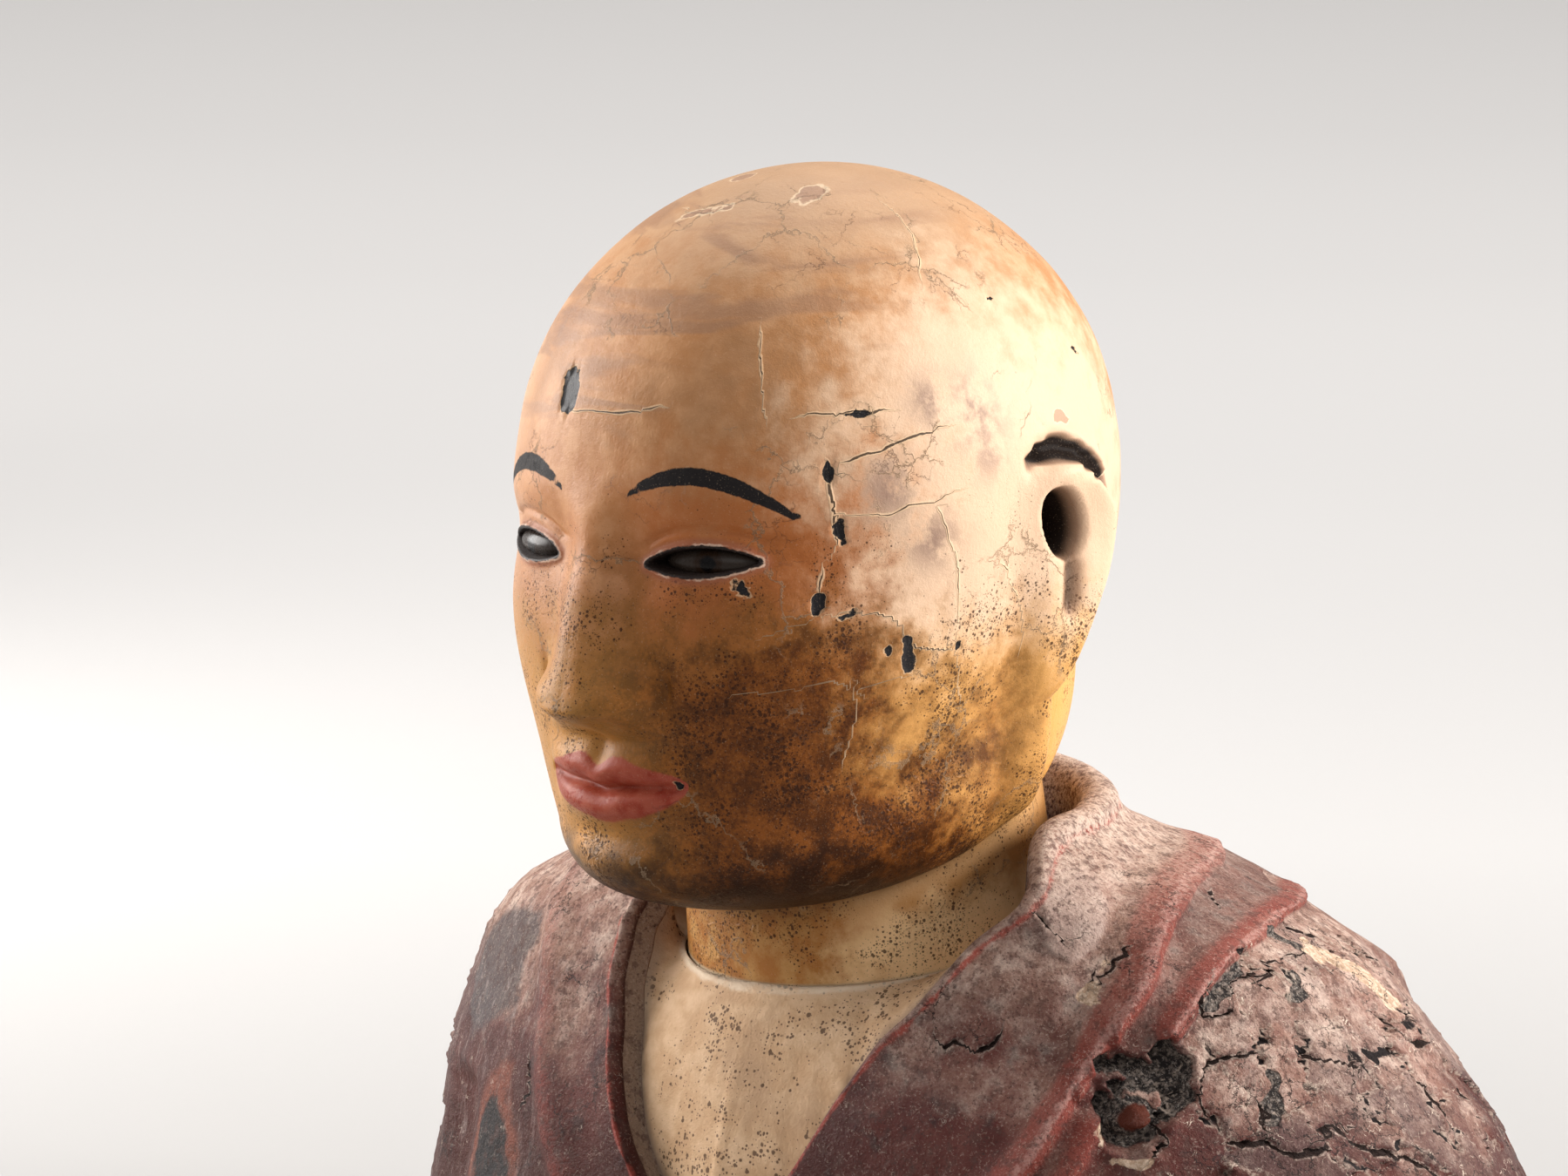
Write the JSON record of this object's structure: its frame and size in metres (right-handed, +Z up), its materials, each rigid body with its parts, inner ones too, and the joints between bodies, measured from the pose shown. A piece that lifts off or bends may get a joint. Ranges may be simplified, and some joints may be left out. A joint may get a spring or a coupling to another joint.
{
  "type": "buddhist monk bust",
  "caption": "Carved wooden bust of a shaven-headed monk in an open-necked robe, painted, lacquered and worn, cut flat below.",
  "frame": {"origin": "the middle of the flat underside, below the body's axis", "axes": "the face looks along -Y, the figure's own left is +X, and +Z is up"},
  "size_m": [0.1479, 0.1072, 0.1349],
  "materials": {
    "robe_lacquer": "dusty red lacquer over black ground on wood, cracked and flaking",
    "skin_paint": "ochre skin paint on wood under yellowed varnish, with fine cracks",
    "eye_inlay": "dark polished inlay"
  },
  "bodies": {
    "root": {"robed_torso": "robe_lacquer", "head_and_neck": "skin_paint", "left_eye_inlay": "eye_inlay", "right_eye_inlay": "eye_inlay"}
  },
  "joints": []
}
